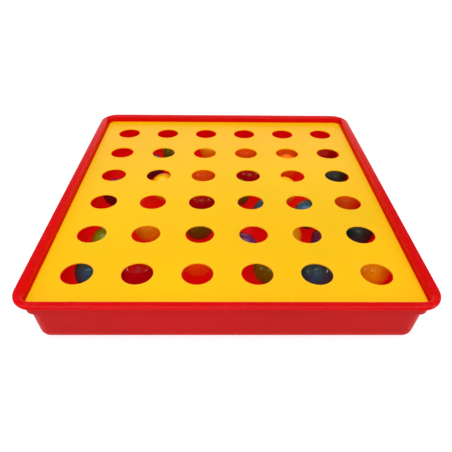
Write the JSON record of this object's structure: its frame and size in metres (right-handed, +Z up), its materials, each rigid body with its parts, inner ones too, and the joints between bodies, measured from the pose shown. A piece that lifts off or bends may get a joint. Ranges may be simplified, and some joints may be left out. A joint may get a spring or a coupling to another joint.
{
  "type": "giant four in a row ball game",
  "caption": "Flat moulded tray with a rolled rim, a lift-out perforated play board and hollow play balls stored under it; balls tossed on the board rest in its holes.",
  "frame": {"origin": "centre of the tray's underside, on the ground", "axes": "+X across the columns to the player's right, +Y away from the player along the rows, +Z up"},
  "size_m": [0.665, 0.7256, 0.099],
  "materials": {
    "tray_red": "moulded, satin gloss",
    "board_yellow": "moulded, satin gloss",
    "ball_blue": "smooth gloss",
    "ball_red": "smooth gloss",
    "ball_yellow": "smooth gloss",
    "ball_orange": "smooth gloss",
    "ball_green": "smooth gloss",
    "ball_purple": "smooth gloss"
  },
  "bodies": {
    "tray": {"tray": "tray_red"},
    "board": {"play_board": "board_yellow"},
    "ball_blue_1": {"ball_blue_1": "ball_blue"},
    "ball_blue_2": {"ball_blue_2": "ball_blue"},
    "ball_blue_3": {"ball_blue_3": "ball_blue"},
    "ball_blue_4": {"ball_blue_4": "ball_blue"},
    "ball_blue_5": {"ball_blue_5": "ball_blue"},
    "ball_blue_6": {"ball_blue_6": "ball_blue"},
    "ball_red_1": {"ball_red_1": "ball_red"},
    "ball_red_2": {"ball_red_2": "ball_red"},
    "ball_red_3": {"ball_red_3": "ball_red"},
    "ball_red_4": {"ball_red_4": "ball_red"},
    "ball_yellow_1": {"ball_yellow_1": "ball_yellow"},
    "ball_yellow_2": {"ball_yellow_2": "ball_yellow"},
    "ball_yellow_3": {"ball_yellow_3": "ball_yellow"},
    "ball_yellow_4": {"ball_yellow_4": "ball_yellow"},
    "ball_yellow_5": {"ball_yellow_5": "ball_yellow"},
    "ball_yellow_6": {"ball_yellow_6": "ball_yellow"},
    "ball_orange_1": {"ball_orange_1": "ball_orange"},
    "ball_orange_2": {"ball_orange_2": "ball_orange"},
    "ball_orange_3": {"ball_orange_3": "ball_orange"},
    "ball_orange_4": {"ball_orange_4": "ball_orange"},
    "ball_orange_5": {"ball_orange_5": "ball_orange"},
    "ball_orange_6": {"ball_orange_6": "ball_orange"},
    "ball_green_1": {"ball_green_1": "ball_green"},
    "ball_green_2": {"ball_green_2": "ball_green"},
    "ball_green_3": {"ball_green_3": "ball_green"},
    "ball_green_4": {"ball_green_4": "ball_green"},
    "ball_green_5": {"ball_green_5": "ball_green"},
    "ball_purple_1": {"ball_purple_1": "ball_purple"},
    "ball_purple_2": {"ball_purple_2": "ball_purple"},
    "ball_purple_3": {"ball_purple_3": "ball_purple"},
    "ball_purple_4": {"ball_purple_4": "ball_purple"}
  },
  "joints": [
    {"name": "board_lift", "type": "slide", "parent": "tray", "child": "board", "axis": [0, 0, 1], "range_m": [0, 0.15]},
    {"name": "ball_blue_1_roll", "type": "slide", "parent": "tray", "child": "ball_blue_1", "axis": [0, 1, 0], "range_m": [-0.091, 0.021]},
    {"name": "ball_blue_2_roll", "type": "slide", "parent": "tray", "child": "ball_blue_2", "axis": [0, 1, 0], "range_m": [-0.093, 0.034]},
    {"name": "ball_blue_3_roll", "type": "slide", "parent": "tray", "child": "ball_blue_3", "axis": [0, 1, 0], "range_m": [-0.056, 0.045]},
    {"name": "ball_blue_4_roll", "type": "slide", "parent": "tray", "child": "ball_blue_4", "axis": [1, 0, 0], "range_m": [-0.026, 0.018]},
    {"name": "ball_blue_5_roll", "type": "slide", "parent": "tray", "child": "ball_blue_5", "axis": [0, 1, 0], "range_m": [-0.031, 0.031]},
    {"name": "ball_blue_6_roll", "type": "slide", "parent": "tray", "child": "ball_blue_6", "axis": [0, 1, 0], "range_m": [-0.046, 0.049]},
    {"name": "ball_red_1_roll", "type": "slide", "parent": "tray", "child": "ball_red_1", "axis": [0, 1, 0], "range_m": [-0.097, 0.068]},
    {"name": "ball_red_2_roll", "type": "slide", "parent": "tray", "child": "ball_red_2", "axis": [1, 0, 0], "range_m": [-0.028, 0.021]},
    {"name": "ball_red_3_roll", "type": "slide", "parent": "tray", "child": "ball_red_3", "axis": [1, 0, 0], "range_m": [-0.048, 0.038]},
    {"name": "ball_red_4_roll", "type": "slide", "parent": "tray", "child": "ball_red_4", "axis": [0, 1, 0], "range_m": [-0.051, 0.048]},
    {"name": "ball_yellow_1_roll", "type": "slide", "parent": "tray", "child": "ball_yellow_1", "axis": [0, 1, 0], "range_m": [-0.1, 0.056]},
    {"name": "ball_yellow_2_roll", "type": "slide", "parent": "tray", "child": "ball_yellow_2", "axis": [0, 1, 0], "range_m": [-0.068, 0.091]},
    {"name": "ball_yellow_3_roll", "type": "slide", "parent": "tray", "child": "ball_yellow_3", "axis": [0, 1, 0], "range_m": [-0.043, 0.018]},
    {"name": "ball_yellow_4_roll", "type": "slide", "parent": "tray", "child": "ball_yellow_4", "axis": [1, 0, 0], "range_m": [-0.042, 0.032]},
    {"name": "ball_yellow_5_roll", "type": "slide", "parent": "tray", "child": "ball_yellow_5", "axis": [0, 1, 0], "range_m": [-0.028, 0.033]},
    {"name": "ball_yellow_6_roll", "type": "slide", "parent": "tray", "child": "ball_yellow_6", "axis": [0, 1, 0], "range_m": [-0.075, 0.029]},
    {"name": "ball_orange_1_roll", "type": "slide", "parent": "tray", "child": "ball_orange_1", "axis": [0, 1, 0], "range_m": [-0.12, 0.048]},
    {"name": "ball_orange_2_roll", "type": "slide", "parent": "tray", "child": "ball_orange_2", "axis": [0, 1, 0], "range_m": [-0.045, 0.046]},
    {"name": "ball_orange_3_roll", "type": "slide", "parent": "tray", "child": "ball_orange_3", "axis": [0, 1, 0], "range_m": [-0.044, 0.075]},
    {"name": "ball_orange_4_roll", "type": "slide", "parent": "tray", "child": "ball_orange_4", "axis": [0, 1, 0], "range_m": [-0.042, 0.052]},
    {"name": "ball_orange_5_roll", "type": "slide", "parent": "tray", "child": "ball_orange_5", "axis": [1, 0, 0], "range_m": [-0.038, 0.048]},
    {"name": "ball_orange_6_roll", "type": "slide", "parent": "tray", "child": "ball_orange_6", "axis": [1, 0, 0], "range_m": [-0.043, 0.034]},
    {"name": "ball_green_1_roll", "type": "slide", "parent": "tray", "child": "ball_green_1", "axis": [0, 1, 0], "range_m": [-0.103, 0.013]},
    {"name": "ball_green_2_roll", "type": "slide", "parent": "tray", "child": "ball_green_2", "axis": [0, 1, 0], "range_m": [-0.021, 0.117]},
    {"name": "ball_green_3_roll", "type": "slide", "parent": "tray", "child": "ball_green_3", "axis": [1, 0, 0], "range_m": [-0.035, 0.037]},
    {"name": "ball_green_4_roll", "type": "slide", "parent": "tray", "child": "ball_green_4", "axis": [0, 1, 0], "range_m": [-0.027, 0.028]},
    {"name": "ball_green_5_roll", "type": "slide", "parent": "tray", "child": "ball_green_5", "axis": [1, 0, 0], "range_m": [-0.12, 0.036]},
    {"name": "ball_purple_1_roll", "type": "slide", "parent": "tray", "child": "ball_purple_1", "axis": [0, 1, 0], "range_m": [-0.013, 0.036]},
    {"name": "ball_purple_2_roll", "type": "slide", "parent": "tray", "child": "ball_purple_2", "axis": [0, 1, 0], "range_m": [-0.034, 0.031]},
    {"name": "ball_purple_3_roll", "type": "slide", "parent": "tray", "child": "ball_purple_3", "axis": [0, 1, 0], "range_m": [-0.117, 0.109]},
    {"name": "ball_purple_4_roll", "type": "slide", "parent": "tray", "child": "ball_purple_4", "axis": [1, 0, 0], "range_m": [-0.09, 0.033]}
  ]
}
